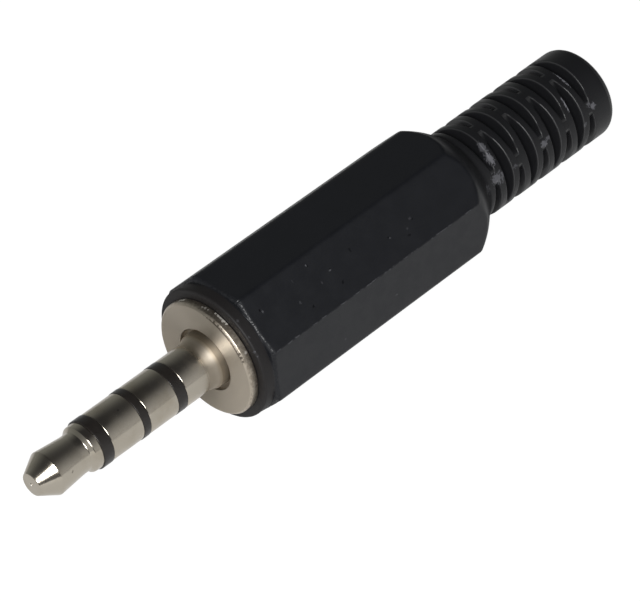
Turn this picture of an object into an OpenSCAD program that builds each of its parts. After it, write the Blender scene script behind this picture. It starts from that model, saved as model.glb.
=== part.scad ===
// Four-pole 3.5 mm audio plug with solder tags and a screw-on cover.
// The pin points along -X and the cable leaves along +X. The origin is on the axis,
// at the face of the flange that meets the socket. One flat of the cover faces down.

/* [Contact pin] */
// Diameter of the sleeve contact
pin_d = 3.5; // [3.4:0.05:3.6]
// Length from the flange's face to the end of the nose
pin_len = 15; // [14:0.1:17]
// Diameter of the flat end of the nose
nose_d = 1.6; // [1:0.05:2]
// Widest diameter of the nose cone
cone_d = 3.14; // [2.8:0.02:3.2]
// Length of the nose cone
cone_len = 1.32; // [1:0.02:1.8]
// Smallest diameter of the neck, where the socket's spring sits
neck_d = 2.76; // [2.4:0.02:2.8]
// Distance from the first insulating ring forward to the bottom of the neck
neck_at = 1.15; // [1.1:0.05:1.8]
// Bevel on the front edges of the metal bands
band_bevel = 0.09; // [0.02:0.01:0.15]

/* [Insulating rings] */
// Distance from the flange forward to the first ring, next to the tip
ring_a_at = 10.4; // [10.2:0.05:10.8]
// Width of the first ring
ring_a_w = 0.82; // [0.5:0.02:1.2]
// Distance from the flange forward to the second ring
ring_b_at = 7; // [6.6:0.05:7.4]
// Width of the second ring
ring_b_w = 0.59; // [0.5:0.01:1.2]
// Distance from the flange forward to the third ring
ring_c_at = 4; // [3.6:0.05:4.4]
// Width of the third ring
ring_c_w = 0.79; // [0.5:0.01:1.2]

/* [Flange and boss] */
// Diameter of the flange
flange_d = 8.34; // [7.4:0.02:8.6]
// Thickness of the flange
flange_t = 0.65; // [0.5:0.05:1]
// Diameter of the relief groove round the foot of the sleeve
groove_d = 4.56; // [4.3:0.02:6]
// Depth of the relief groove
groove_depth = 0.35; // [0.1:0.05:0.4]
// Root diameter of the boss's thread
boss_d = 6.24; // [5.8:0.02:6.3]
// Distance from the flange's face to the back of the boss
boss_end = 6; // [4:0.5:6]

/* [Cover] */
// Width across the flats of the barrel
flats_w = 9.74; // [9.6:0.02:11]
// Diameter of the round lip in front of the flats
lip_d = 9.6; // [9:0.02:9.6]
// Distance from the flange's face to the front of the flats
flats_at = 1.55; // [1.3:0.05:3]
// Bevel on the front edge of each flat
flat_bevel = 0.12; // [0.05:0.01:0.2]
// Distance from the flange's face to the start of the rounded shoulder
shoulder_at = 20.8; // [20.6:0.1:22]
// Length of the rounded shoulder
shoulder_len = 2.55; // [1.5:0.05:4]
// How far the shoulder's curve stands out from a straight slope
shoulder_bulge = 0.18; // [0.05:0.01:0.3]
// Diameter of the cavity
cavity_d = 6.92; // [6.84:0.02:7.2]
// Distance from the flange's face to the end of the straight part of the cavity
cavity_end = 19.8; // [18:0.1:20]

/* [Strain relief] */
// Diameter of the boot
boot_d = 6.84; // [6.4:0.02:8]
// Distance from the flange's face to the end of the boot
boot_end = 36.5; // [36:0.1:45]
// Radius of the rounded end of the boot
boot_round = 0.6; // [0.2:0.05:1]
// Diameter of the cable hole
cable_d = 3.4; // [2.4:0.1:3.4]
// Number of rows of slots
slot_rows = 9; // [1:1:9]
// Spacing of the rows
slot_pitch = 1.21; // [1.1:0.01:1.3]
// Distance from the end of the shoulder to the middle of the first row
slot_at = 1.02; // [0.7:0.01:1.5]
// Distance from the axis to the flat floor of a slot
slot_floor = 2.1; // [2:0.05:2.6]
// Width of a slot at its floor
slot_w = 0.34; // [0.2:0.02:0.4]
// Slope of the slot's walls, in degrees
slot_draft = 11; // [0:1:11]

/* [Solder tags] */
// Thickness of the tags
tag_t = 0.3; // [0.2:0.05:0.35]
// Width of a tag's strip
tag_w = 1.3; // [1:0.1:1.6]
// Length of a tag's strip
tag_len = 4; // [2:0.5:4]
// Thickness of the insulating washers
washer_t = 0.5; // [0.4:0.05:0.6]
// Diameter of the insulating washers
washer_d = 4.4; // [4:0.1:4.6]
// Thickness of the sleeve's clamp
clamp_t = 0.35; // [0.25:0.05:0.4]
// Distance from the flange's face to the start of the clamp's wings
clamp_at = 12.8; // [12.5:0.1:13.5]
// Length of the clamp's wings
clamp_len = 3; // [2:0.1:3.4]
// Width of the opening between the wings
clamp_open = 2.6; // [1.6:0.1:3]

/* [Hidden] */

nickel = "#d9d5cc";
tinned = "#c9c6bd";
fibre = "#e4ddc8";
ring_black = "#1c1b1a";
cover_black = "#16171b";

// Radii of the nested layers of the pin, from the spindle outwards
film = 0.17;
tube = 0.22;
spindle_r = 0.45;
r_a = spindle_r + film;
r_1 = r_a + tube;
r_b = r_1 + film;
r_2 = r_b + tube;
r_c = r_2 + film;

// Radii of the bands, which step down a little towards the tip
sleeve_r = pin_d / 2;
band2_r = sleeve_r - 0.005;
band1_r = sleeve_r - 0.015;
ring_r = sleeve_r + 0.015;

// Back faces of the stacked clamp, washers and tags
clamp_back = boss_end + clamp_t;
washer1_back = clamp_back + washer_t;
tag2_back = washer1_back + tag_t;
washer2_back = tag2_back + washer_t;
tag1_back = washer2_back + tag_t;
washer3_back = tag1_back + washer_t;
tip_tag_back = washer3_back + tag_t;
// Radius at which the tags' strips run back past the washers
strip_r = 2.45;

lip_at = flange_t + 0.03;
boot_at = shoulder_at + shoulder_len;
boot_r = boot_d / 2;
corner_r = flats_w / 2 / cos(22.5);
// The mould parts along two opposite corners of the octagon
parting_angle = 67.5;

$fn = 96;

// Points on an arc about (x, y), from angle a0 to angle a1
function arc(x, y, r, a0, a1, n = 5) =
    [for (i = [0:n]) let (a = a0 + (a1 - a0) * i / n) [x + r * cos(a), y + r * sin(a)]];

// Points on an arc from p to q that bulges to the left by b
function bulged(p, q, b, n = 8) =
    let (d = q - p,
        half = norm(d) / 2,
        r = (half * half + b * b) / (2 * b),
        centre = (p + q) / 2 - [-d.y, d.x] / (2 * half) * (r - b),
        a0 = atan2(p.y - centre.y, p.x - centre.x),
        a1 = atan2(q.y - centre.y, q.x - centre.x))
    arc(centre.x, centre.y, r, a0, a1, n);

// Turns a profile of [distance along the axis, radius] points about the axis
module turned(profile) {
    rotate([0, 90, 0]) rotate_extrude() polygon([for (p = profile) [p[1], p[0]]]);
}

// A plain tube from x0 to x1
module ring(x0, x1, r_in, r_out) {
    turned([[x0, r_in], [x0, r_out], [x1, r_out], [x1, r_in]]);
}

// A contact band with bevelled edges, on a thinner tube that runs back to its tag
module band(x0, x1, r_in, r_band, r_tube, x_end) {
    back_bevel = band_bevel / 2;
    turned([[x0, r_in], [x0, r_band - band_bevel], [x0 + band_bevel, r_band],
        [x1 - back_bevel, r_band], [x1, r_band - back_bevel], [x1, r_tube],
        [x_end, r_tube], [x_end, r_in]]);
}

// An insulating ring with the thin tube behind it
module insulator(x0, x1, r_in, r_tube, x_end) {
    edge = 0.03;
    color(ring_black) turned([[x0, r_in], [x0, ring_r - edge], [x0 + edge, ring_r],
        [x1 - edge, ring_r], [x1, ring_r - edge], [x1, r_tube], [x_end, r_tube], [x_end, r_in]]);
}

// Turned tip on a long spindle, whose end is peened over the tip's tag
module tip_contact() {
    x_nose = -pin_len;
    x_cone = x_nose + cone_len;
    x_back = -ring_a_at;
    x_neck = x_back - neck_at;
    nose_r = nose_d / 2;
    cone_r = cone_d / 2;
    neck_r = neck_d / 2;
    edge = 0.03;
    // Small pip that the lathe leaves in the middle of the nose
    pip_r = 0.13;
    pip_t = 0.08;
    // The shoulder behind the neck: a hollow fillet, a slope and a round fillet
    step_r = sleeve_r - 0.11;
    rear_r = sleeve_r - 0.07;
    fillet = 0.2;
    slope = 40;
    climb = step_r - neck_r - 2 * fillet * (1 - cos(slope));
    half_run = climb / tan(slope) / 2 + fillet * sin(slope);
    x_step = x_back - 0.62;
    head_r = 0.8;
    head_t = 0.28;
    color(nickel) turned(concat(
        [[x_nose - pip_t, 0], [x_nose - pip_t, pip_r / 2], [x_nose, pip_r]],
        [[x_nose, nose_r - edge], [x_nose + edge, nose_r]],
        [[x_cone - edge, cone_r - 0.02], [x_cone + edge, cone_r]],
        [[x_neck - 0.1, neck_r]],
        arc(x_step - half_run, neck_r + fillet, fillet, -90, slope - 90),
        arc(x_step + half_run, step_r - fillet, fillet, slope + 90, 90),
        [[x_back - edge, rear_r], [x_back, rear_r - edge], [x_back, spindle_r], [tip_tag_back, spindle_r]],
        [[tip_tag_back, head_r], [tip_tag_back + head_t / 2, head_r], [tip_tag_back + head_t, head_r / 2],
            [tip_tag_back + head_t, 0]]));
}

module insulator_a() {
    insulator(-ring_a_at, -ring_a_at + ring_a_w, spindle_r, r_a, tag1_back);
}

module ring1_contact() {
    color(nickel) band(-ring_a_at + ring_a_w, -ring_b_at, r_a, band1_r, r_1, tag1_back);
}

module insulator_b() {
    insulator(-ring_b_at, -ring_b_at + ring_b_w, r_1, r_b, tag2_back);
}

module ring2_contact() {
    color(nickel) band(-ring_b_at + ring_b_w, -ring_c_at, r_b, band2_r, r_2, tag2_back);
}

module insulator_c() {
    insulator(-ring_c_at, -ring_c_at + ring_c_w, r_2, r_c, clamp_back);
}

// Sleeve contact, flange and threaded boss, turned from one bar
module body() {
    x0 = -ring_c_at + ring_c_w;
    // The sleeve flares out to its foot, whose wall stands in the relief groove
    flare_at = -1.2;
    flare_len = 0.87;
    foot_r = sleeve_r + 0.21;
    edge = 0.09;
    boss_r = boss_d / 2;
    relief = 0.22;
    chamfer = 0.3;
    color(nickel) turned(concat(
        [[x0, r_c], [x0, sleeve_r - band_bevel], [x0 + band_bevel, sleeve_r]],
        [for (i = [0:8]) let (f = i / 8)
            [flare_at + flare_len * f, sleeve_r + (foot_r - sleeve_r) * pow(f, 3)]],
        [[groove_depth, foot_r + 0.05]],
        [[groove_depth, groove_d / 2], [0.03, groove_d / 2], [0, groove_d / 2 + 0.03]],
        arc(edge, flange_d / 2 - edge, edge, 180, 90),
        [[flange_t, flange_d / 2], [flange_t, boss_r - relief], [flange_t + 0.5, boss_r - relief],
            [flange_t + 0.5 + relief, boss_r], [boss_end - chamfer, boss_r], [boss_end, boss_r - chamfer],
            [boss_end, r_c]]));
}

// Octagonal barrel, with a bevel in front of each flat and a round shoulder at the back
module barrel() {
    over = 0.03;
    beyond = 20;
    difference() {
        intersection() {
            rotate([0, 90, 0]) rotate(22.5) translate([0, 0, flats_at])
                cylinder(r = corner_r, h = boot_at - flats_at, $fn = 8);
            turned(concat([[flats_at, 0], [flats_at, corner_r + over]],
                bulged([shoulder_at, corner_r + over], [boot_at, boot_r], shoulder_bulge), [[boot_at, 0]]));
        }
        for (i = [0:7])
            rotate([45 * i, 0, 0])
                translate([flats_at, 0, flats_w / 2 - flat_bevel])
                    rotate([0, -45, 0])
                        translate([-beyond / 2, -beyond / 2, 0]) cube([beyond, beyond, 5]);
    }
}

// Row i of the strain relief: three straight slots that leave three bridges between them.
// Each row is turned by half a space from the row before it.
module slot_row(i) {
    x = boot_at + slot_at + i * slot_pitch;
    top = boot_r + 0.3;
    half_floor = slot_w / 2;
    half_top = half_floor + (top - slot_floor) * tan(slot_draft);
    turn = i % 2 == 0 ? parting_angle - 60 : parting_angle;
    for (k = [0:2])
        rotate([turn + 120 * k, 0, 0])
            rotate([90, 0, 0])
                linear_extrude(height = boot_d, center = true)
                    polygon([[x - half_floor, slot_floor], [x + half_floor, slot_floor],
                        [x + half_top, top], [x - half_top, top]]);
}

// The boot: a tube with rows of slots, so that it bends with the cable
module boot() {
    sunk = 0.5;
    difference() {
        turned(concat([[boot_at - sunk, 0], [boot_at - sunk, boot_r]],
            arc(boot_end - boot_round, boot_r - boot_round, boot_round, 90, 0), [[boot_end, 0]]));
        for (i = [0:slot_rows - 1]) slot_row(i);
    }
}

// Octagonal barrel and slotted boot in one moulding
module cover() {
    lip_round = 0.15;
    cable_r = cable_d / 2;
    cavity_r = cavity_d / 2;
    taper_end = cavity_end + 2.2;
    lead_in = 0.25;
    color(cover_black) difference() {
        union() {
            barrel();
            boot();
            turned(concat([[lip_at, 0]],
                arc(lip_at + lip_round, lip_d / 2 - lip_round, lip_round, 180, 90),
                [[flats_at + 0.2, lip_d / 2], [flats_at + 0.2, 0]]));
        }
        // Cavity for the boss and the tags, which narrows to the cable hole
        turned([[lip_at - 1, 0], [lip_at - 1, cavity_r], [cavity_end, cavity_r], [taper_end, cable_r],
            [boot_end - lead_in, cable_r], [boot_end + lead_in, cable_r + 2 * lead_in],
            [boot_end + lead_in, 0]]);
    }
}

// A disc with a strip bent back from its edge, which carries a solder hole.
// The strip leaves the disc at the given angle from the top, towards -Y.
module tag(x_back, r_hole, angle) {
    x0 = x_back - tag_t;
    disc_r = 1.9;
    root = r_hole + 0.3;
    x_hole = x0 + tag_len - tag_w / 2;
    color(tinned) rotate([angle, 0, 0]) difference() {
        union() {
            ring(x0, x_back, r_hole, disc_r);
            translate([x0, -tag_w / 2, root]) cube([tag_t, tag_w, strip_r + tag_t - root]);
            translate([x0, -tag_w / 2, strip_r]) cube([tag_len - tag_w / 2, tag_w, tag_t]);
            translate([x_hole, 0, strip_r]) cylinder(d = tag_w, h = tag_t, $fn = 48);
        }
        translate([x_hole, 0, strip_r - 1]) cylinder(d = 0.7, h = 2 + tag_t, $fn = 32);
    }
}

module ring2_tag() {
    tag(tag2_back, r_2, 90);
}

module ring1_tag() {
    tag(tag1_back, r_1, -90);
}

module tip_tag() {
    tag(tip_tag_back, spindle_r, 0);
}

module washer_1() {
    color(fibre) ring(clamp_back, washer1_back, r_2, washer_d / 2);
}

module washer_2() {
    color(fibre) ring(tag2_back, washer2_back, r_1, washer_d / 2);
}

module washer_3() {
    color(fibre) ring(tag1_back, washer3_back, spindle_r, washer_d / 2);
}

// The sleeve's tag: a ring against the boss, an arm along the bottom that is cranked
// inwards, and two wings that close round the cable
module sleeve_clamp() {
    arm_w = 2;
    low = -strip_r - clamp_t;
    wing_r = cable_d / 2;
    crank = 1.3;
    crank_at = clamp_at - crank - 0.4;
    hidden = 0.4;
    color(tinned) union() {
        ring(boss_end, clamp_back, r_c + 0.1, -low);
        rotate([90, 0, 0]) linear_extrude(height = arm_w, center = true)
            polygon([[clamp_back - clamp_t, low], [crank_at, low],
                [crank_at + crank, -wing_r - clamp_t], [clamp_at + hidden, -wing_r - clamp_t],
                [clamp_at + hidden, -wing_r], [crank_at + crank + clamp_t / 2, -wing_r],
                [crank_at + clamp_t / 2, -strip_r], [clamp_back - clamp_t, -strip_r]]);
        difference() {
            ring(clamp_at, clamp_at + clamp_len, wing_r, wing_r + clamp_t);
            translate([clamp_at - 1, -clamp_open / 2, 0]) cube([clamp_len + 2, clamp_open, 2 * wing_r]);
        }
    }
}

tip_contact();
insulator_a();
ring1_contact();
insulator_b();
ring2_contact();
insulator_c();
body();
cover();
sleeve_clamp();
washer_1();
ring2_tag();
washer_2();
ring1_tag();
washer_3();
tip_tag();
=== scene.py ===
import math

import bmesh
import bpy
import numpy as np
from mathutils import Matrix, Vector


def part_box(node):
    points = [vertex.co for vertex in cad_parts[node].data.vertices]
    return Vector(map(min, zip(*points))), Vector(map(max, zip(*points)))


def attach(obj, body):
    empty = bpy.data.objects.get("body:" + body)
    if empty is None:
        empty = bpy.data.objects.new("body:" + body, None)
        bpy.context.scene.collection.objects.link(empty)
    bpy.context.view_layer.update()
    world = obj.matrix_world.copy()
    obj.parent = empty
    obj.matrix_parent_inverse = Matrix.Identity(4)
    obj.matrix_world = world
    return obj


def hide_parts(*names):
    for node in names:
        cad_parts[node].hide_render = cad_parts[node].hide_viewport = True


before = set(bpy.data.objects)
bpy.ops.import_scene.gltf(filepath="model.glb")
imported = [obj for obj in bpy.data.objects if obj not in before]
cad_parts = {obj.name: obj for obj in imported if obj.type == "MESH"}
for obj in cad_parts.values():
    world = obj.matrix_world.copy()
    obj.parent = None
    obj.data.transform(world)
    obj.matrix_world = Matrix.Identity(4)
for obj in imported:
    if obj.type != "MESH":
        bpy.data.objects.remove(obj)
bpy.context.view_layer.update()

# Four-pole audio plug: finishes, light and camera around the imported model.
# Sizes here are in millimetres, angles about the axis run from +Z towards -Y.

mm = 0.001


def front(name):  # where a node starts along the plug's axis
    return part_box(name)[0].x / mm


def back(name):
    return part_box(name)[1].x / mm


def widest(name):  # largest radius of a turned node
    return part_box(name)[1].z / mm


# Mesh helpers

def addPiece(name, mesh, sharpAngle):
    mesh.shade_smooth()
    mesh.set_sharp_from_angle(angle=math.radians(sharpAngle))
    piece = bpy.data.objects.new(name, mesh)
    bpy.context.scene.collection.objects.link(piece)
    piece.modifiers.new("even normals", "WEIGHTED_NORMAL").keep_sharp = True
    return piece


def ringPoints(x, radius, angles):
    x = np.broadcast_to(x, angles.shape)
    radius = np.broadcast_to(radius, angles.shape)
    return np.stack([x, -radius * np.sin(angles), radius * np.cos(angles)], axis=1)


# Joins rings of points into one skin; a ring of one point closes the end
def skin(name, rings, closed, sharpAngle=38):
    starts = np.cumsum([0] + [len(ring) for ring in rings]).tolist()
    faces = []
    for a in range(len(rings) if closed else len(rings) - 1):
        b = (a + 1) % len(rings)
        around = max(len(rings[a]), len(rings[b]))
        for j in range(around):
            k = (j + 1) % around
            if len(rings[a]) == 1:
                faces.append((starts[a], starts[b] + k, starts[b] + j))
            elif len(rings[b]) == 1:
                faces.append((starts[a] + j, starts[a] + k, starts[b]))
            else:
                faces.append((starts[a] + j, starts[a] + k, starts[b] + k, starts[b] + j))
    mesh = bpy.data.meshes.new(name)
    mesh.from_pydata([tuple(v) for v in np.concatenate(rings) * mm], [], faces)
    mesh.validate()
    return addPiece(name, mesh, sharpAngle)


# Rounds an outline of (x, radius, rounding) corners; a rounding takes at most a share of each edge
def rounded(corners, steps=5, share=0.45):
    outline = []
    for i, (x, r, size) in enumerate(corners):
        here = np.array([x, r])
        if size == 0:
            outline.append(here)
            continue
        toBefore = np.array(corners[i - 1][:2]) - here
        toAfter = np.array(corners[(i + 1) % len(corners)][:2]) - here
        reach = min(size, share * np.hypot(*toBefore), share * np.hypot(*toAfter))
        start = here + toBefore / np.hypot(*toBefore) * reach
        end = here + toAfter / np.hypot(*toAfter) * reach
        for f in np.linspace(0, 1, steps + 1):
            outline.append((1 - f) ** 2 * start + 2 * f * (1 - f) * here + f * f * end)
    return outline


def turned(name, outline, sides=168, closed=True, lift=None):
    angles = np.linspace(0, 2 * math.pi, sides, endpoint=False)
    rings = []
    for x, r in outline:
        if r < 1e-6:
            rings.append(np.array([[x, 0.0, 0.0]]))
        else:
            rings.append(ringPoints(x, r + (lift(x, r, angles) if lift else 0), angles))
    return skin(name, rings, closed)


def softMin(a, b, reach):
    h = np.clip(0.5 + 0.5 * (b - a) / reach, 0, 1)
    return b + (a - b) * h - reach * h * (1 - h)


def softMax(a, b, reach):
    return -softMin(-a, -b, reach)


def dress(piece, material, body, replaced=()):
    piece.data.materials.clear()
    piece.data.materials.append(material)
    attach(piece, body)
    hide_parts(*replaced)


# Node helpers

def addNode(tree, kind, inputs=None, **settings):
    made = tree.nodes.new(kind)
    for name, value in settings.items():
        setattr(made, name, value)
    for name, value in (inputs or {}).items():
        if isinstance(value, bpy.types.NodeSocket):
            tree.links.new(value, made.inputs[name])
        else:
            made.inputs[name].default_value = value
    return made


def calc(tree, operation, a, b=0.0, c=0.0):
    return addNode(tree, "ShaderNodeMath", {0: a, 1: b, 2: c}, operation=operation).outputs[0]


def times(tree, a, b):
    return calc(tree, "MULTIPLY", a, b)


def vectors(tree, operation, a, b=(0, 0, 0)):
    made = addNode(tree, "ShaderNodeVectorMath", {0: a, 1: b}, operation=operation)
    return made.outputs["Value" if operation in ("LENGTH", "DOT_PRODUCT") else "Vector"]


def remap(tree, value, low, high, toLow=0.0, toHigh=1.0, soft=True):
    kind = "SMOOTHSTEP" if soft else "LINEAR"
    inputs = {"Value": value, "From Min": low, "From Max": high, "To Min": toLow, "To Max": toHigh}
    return addNode(tree, "ShaderNodeMapRange", inputs, interpolation_type=kind).outputs[0]


def ramp(tree, distance, low, high):  # 0 at the first distance, 1 at the second, in millimetres
    return remap(tree, distance, low * mm, high * mm)


def stretch(tree, distance, limits):  # rises over the first two distances, falls over the last two
    rise, full, fall, end = limits
    return times(tree, ramp(tree, distance, rise, full), ramp(tree, distance, end, fall))


def blend(tree, factor, a, b):  # colours
    made = addNode(tree, "ShaderNodeMix", {0: factor}, data_type="RGBA")
    for socket, value in ((made.inputs[6], a), (made.inputs[7], b)):
        if isinstance(value, bpy.types.NodeSocket):
            tree.links.new(value, socket)
        else:
            socket.default_value = (*value, 1)
    return made.outputs[2]


def mixed(tree, factor, a, b):  # single values
    return addNode(tree, "ShaderNodeMix", {0: factor, 2: a, 3: b}).outputs[0]


def link(tree, value, node, name):
    tree.links.new(value, node.inputs[name])


def objectPlace(tree):
    return addNode(tree, "ShaderNodeTexCoord").outputs["Object"]


noiseSpan = (0.3, 0.7)  # where most values of a noise lie


def noise(tree, place, scale, detail, roughness=0.5):
    inputs = {"Vector": place, "Scale": scale, "Detail": detail, "Roughness": roughness}
    return addNode(tree, "ShaderNodeTexNoise", inputs).outputs["Fac"]


# Distance along the axis and out from it
def alongAndOut(tree):
    split = addNode(tree, "ShaderNodeSeparateXYZ", {0: objectPlace(tree)}).outputs
    square = calc(tree, "MULTIPLY_ADD", split[1], split[1], times(tree, split[2], split[2]))
    return split[0], calc(tree, "SQRT", square)


# An uneven spot round a centre, for pits, nicks, dents and scuffs, and for painted highlights, glints and
# dark reflections
spotEdge = {"scale": 7000.0, "detail": 3.0, "roughness": 0.7, "pull": 3.0, "fade": (1.0, 0.7)}


def spot(tree, centre, reach, ragged):
    place = objectPlace(tree)
    away = vectors(tree, "LENGTH", vectors(tree, "DIVIDE", vectors(tree, "SUBTRACT", place, centre), reach))
    rough = noise(tree, place, spotEdge["scale"], spotEdge["detail"], spotEdge["roughness"])
    uneven = times(tree, calc(tree, "SUBTRACT", rough, 0.5), ragged)
    edge = calc(tree, "MULTIPLY_ADD", uneven, spotEdge["pull"], away)
    return remap(tree, edge, *spotEdge["fade"])


# Shader groups, shared by the materials

def newGroup(name, outputs, **inputs):
    group = bpy.data.node_groups.new(name, "ShaderNodeTree")
    for label, value in inputs.items():
        kind = "NodeSocketVector" if isinstance(value, tuple) else "NodeSocketFloat"
        group.interface.new_socket(label, in_out="INPUT", socket_type=kind).default_value = value
    for label in outputs:
        group.interface.new_socket(label, in_out="OUTPUT", socket_type="NodeSocketFloat")
    return group, group.nodes.new("NodeGroupInput").outputs, group.nodes.new("NodeGroupOutput")


def useGroup(tree, group, **inputs):
    made = tree.nodes.new("ShaderNodeGroup")
    made.node_tree = group
    for name, value in inputs.items():
        made.inputs[name].default_value = value
    return made.outputs


# Fine lines that a lathe leaves: they follow the distance along the axis and the radius
def makeLatheLines():
    group, given, out = newGroup("LatheLines", ["Lines", "Bands"], Density=9000.0, Waver=0.15)
    x, radius = alongAndOut(group)
    across = addNode(group, "ShaderNodeCombineXYZ", {0: x, 1: radius}).outputs[0]
    wobble = addNode(group, "ShaderNodeVectorMath", {0: objectPlace(group), "Scale": given["Waver"]},
                     operation="SCALE").outputs[0]
    shifted = vectors(group, "ADD", across, wobble)
    link(group, noise(group, shifted, given["Density"], 3.0, 0.7), out, "Lines")
    link(group, noise(group, shifted, times(group, given["Density"], 0.12), 1.0), out, "Bands")
    return group


# Uneven surface: a fine grain and slow clouds of gloss
def makeGrain():
    group, given, out = newGroup("Grain", ["Grain", "Clouds"], Fine=14000.0, Cloud=700.0)
    place = objectPlace(group)
    link(group, noise(group, place, given["Fine"], 2.0, 0.55), out, "Grain")
    link(group, noise(group, place, given["Cloud"], 4.0, 0.55), out, "Clouds")
    return group


# Sparse specks, such as dust on plastic or pits in tin
def makeSpecks():
    group, given, out = newGroup("Specks", ["Mask"], Density=1500.0, Size=0.12, Share=0.1)
    cells = addNode(group, "ShaderNodeTexVoronoi",
                    {"Vector": objectPlace(group), "Scale": given["Density"]})
    pick = addNode(group, "ShaderNodeSeparateColor", {0: cells.outputs["Color"]}).outputs[0]
    near = remap(group, cells.outputs["Distance"], given["Size"], times(group, given["Size"], 0.4))
    link(group, times(group, near, calc(group, "LESS_THAN", pick, given["Share"])), out, "Mask")
    return group


# One mark at a given place, with its own reach in each direction
def makeMark():
    group, given, out = newGroup("Mark", ["Mask"], Centre=(0, 0, 0), Reach=(1, 1, 1), Ragged=0.6)
    link(group, spot(group, given["Centre"], given["Reach"], given["Ragged"]), out, "Mask")
    return group


# Ragged line where a mould parts, in the plane through the axis that is square to the given direction
def makeSeam():
    group, given, out = newGroup("Seam", ["Mask"], Across=(0, 1, 0), Width=0.0001, Breaks=1500.0)
    place = objectPlace(group)
    uneven = calc(group, "SUBTRACT", noise(group, place, given["Breaks"], 2.0), 0.5)
    shifted = calc(group, "MULTIPLY_ADD", uneven, times(group, given["Width"], 2.5),
                   vectors(group, "DOT_PRODUCT", place, given["Across"]))
    near = remap(group, calc(group, "ABSOLUTE", shifted), given["Width"], times(group, given["Width"], 0.3))
    broken = noise(group, place, times(group, given["Breaks"], 0.8), 3.0, 0.7)
    link(group, times(group, near, remap(group, broken, 0.47, 0.60)), out, "Mask")
    return group


latheLines = makeLatheLines()
grain = makeGrain()
specks = makeSpecks()
mark = makeMark()
seamLine = makeSeam()
print("shader groups made")


# Material helpers

def newMaterial(name):
    material = bpy.data.materials.new(name)
    material.use_nodes = True
    tree = material.node_tree
    return material, tree, tree.nodes["Principled BSDF"]


def setShader(shader, **values):
    for name, value in values.items():
        shader.inputs[name.replace("_", " ")].default_value = value


# Links colour and roughness, and a bump whose depth is in millimetres
def linkSurface(tree, shader, colour, rough, height, depth, strength):
    bump = addNode(tree, "ShaderNodeBump", {"Height": height, "Distance": depth * mm, "Strength": strength})
    link(tree, colour, shader, "Base Color")
    link(tree, rough, shader, "Roughness")
    link(tree, bump.outputs[0], shader, "Normal")


# Adds marks of (centre, reach, strength), by the shared group or by nodes of the material's own
def addMarks(tree, marks, ragged, shared=True):
    total = 0.0
    for centre, reach, strength in marks:
        centre, reach = [v * mm for v in centre], [v * mm for v in reach]
        if shared:
            mask = useGroup(tree, mark, Centre=centre, Reach=reach, Ragged=ragged)[0]
        else:
            mask = spot(tree, centre, reach, ragged)
        total = calc(tree, "MAXIMUM", times(tree, mask, strength), total)
    return total


def onRound(x, angle, radius):
    a = math.radians(angle)
    return x, -radius * math.sin(a), radius * math.cos(a)


def onFlat(angle, x, offset):  # on a flat of the octagon, counted from its middle
    a = math.radians(angle)
    out = widest("cover")
    return x, -out * math.sin(a) - offset * math.cos(a), out * math.cos(a) - offset * math.sin(a)


def roundMarks(rows):  # rows of x, angle, radius, size and strength
    return [(onRound(x, angle, radius), (size,) * 3, strength) for x, angle, radius, size, strength in rows]


def flatMarks(rows):  # rows of angle, x, offset, reach along, reach across and strength
    return [(onFlat(angle, x, offset), (along, across, across), strength)
            for angle, x, offset, along, across, strength in rows]


# Nickel plate over turned brass. Pairs of distances say where a zone begins and where it is full.
nickelLook = {
    "colour": (0.50, 0.458, 0.388),
    "dullColour": (0.42, 0.375, 0.30),
    "dullShare": (0.45, 0.75),
    "roughness": (0.15, 0.24),
    "grain": 5000.0,
    "clouds": 420.0,
    "lineDensity": 9000.0,
    "lineDepth": 0.01,
    "lineStrength": 0.10,
    "anisotropy": 0.45,
    "quarterTurn": 0.25,
    "groove": (2.2, 2.3),
    "flare": (-1.5, -0.8),
    "flareColour": (0.44, 0.392, 0.325),
    "flareRoughness": 0.56,
    "flareAnisotropy": 0.6,
    # The foot zone's darker colour is painted shade on the sleeve's foot and inside the groove
    "foot": (-0.6, -0.35),
    "footShadeColour": (0.34, 0.288, 0.22),
    "face": (-0.15, -0.08),
    "faceColour": (0.515, 0.459, 0.381),
    "faceRoughness": 0.48,
    "faceAnisotropy": 0.92,
    "rim": (0.004, 0.02),
    "rimRoughness": 0.38,
    "rimAnisotropy": 0.3,
    "rimWear": (0.02, 0.12),
    "rimWearShare": (0.40, 0.62),
    "rimColour": (0.365, 0.315, 0.253),
    # A darker ring at the chamfer's inner edge, over part of the way round, is a painted dark reflection
    "darkReflectionLine": ((0, 36, 3.98), (0.05, 2.0, 2.0), 0.95),
    "darkReflectionRadius": (3.90, 3.96),
    "darkReflectionColour": (0.15, 0.125, 0.10),
    "darkReflectionRagged": 0.6,
    # Pale spots on the pip and the rim are painted highlights
    "highlightColour": (0.85, 0.82, 0.76),
    "highlightRoughness": 0.6,
    "highlightRagged": 1.0,
    "pitColour": (0.06, 0.05, 0.04),
    "pitDepth": 4.0,
    "pitRagged": 0.3,
    "pits": [(-12.83, 77, 1.50, 0.07, 0.5), (-12.76, 74.5, 1.49, 0.07, 0.5), (-7.98, 21, 1.735, 0.07, 0.5),
             (0.07, 56, 4.09, 0.10, 0.75), (0.07, 60, 4.09, 0.11, 0.8), (0.06, 64, 4.08, 0.09, 0.7),
             (0.07, 28.5, 4.09, 0.08, 0.6), (0.07, 24, 4.09, 0.10, 0.7), (0.07, 19, 4.09, 0.10, 0.7)],
    "paintedHighlights": [(-15.06, 42, 0.06, 0.07, 1.0), (0.40, -31, 4.17, 0.15, 1.0), (0.46, -27, 4.17, 0.15, 1.0),
                  (0.38, 0, 4.17, 0.09, 0.8), (0.42, 3, 4.17, 0.12, 0.8), (0.46, 6, 4.17, 0.09, 0.8),
                  (0.55, 14, 4.17, 0.10, 1.0), (0.56, 17, 4.17, 0.12, 1.0), (0.57, 20.5, 4.17, 0.15, 1.0),
                  (0.58, 24, 4.17, 0.15, 1.0), (0.58, 28, 4.17, 0.12, 1.0), (0.45, 58, 4.17, 0.14, 0.6)],
}


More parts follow.
